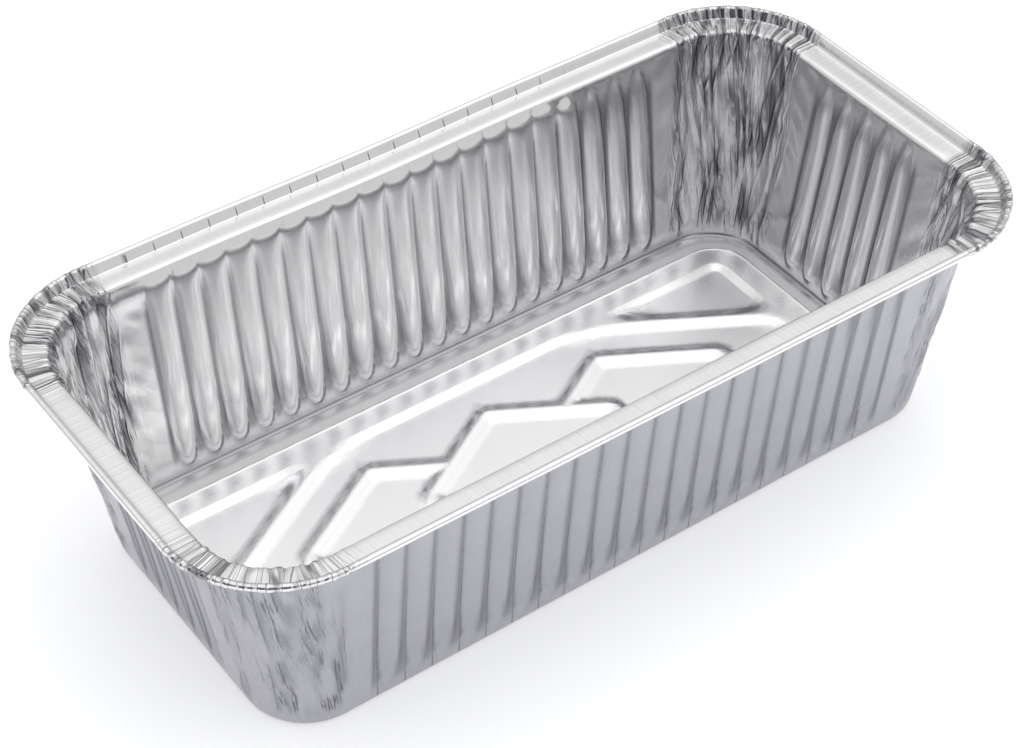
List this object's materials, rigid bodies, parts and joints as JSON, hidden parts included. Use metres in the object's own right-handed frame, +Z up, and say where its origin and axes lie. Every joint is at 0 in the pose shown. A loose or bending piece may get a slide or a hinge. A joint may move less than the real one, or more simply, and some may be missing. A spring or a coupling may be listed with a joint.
{
  "type": "foil loaf pan",
  "caption": "Rectangular loaf pan pressed from thin aluminium foil, with fluted tapered walls, pleated corners, a ridged floor and a flat flange ending in a rolled bead.",
  "frame": {"origin": "centre of the base, on the surface the pan stands on", "axes": "+X along the length of the pan, +Y across it, +Z up towards the open mouth"},
  "size_m": [0.216, 0.11, 0.06],
  "materials": {
    "foil": "bright rolled foil, as pressed"
  },
  "bodies": {
    "root": {"pan": "foil"}
  },
  "joints": []
}
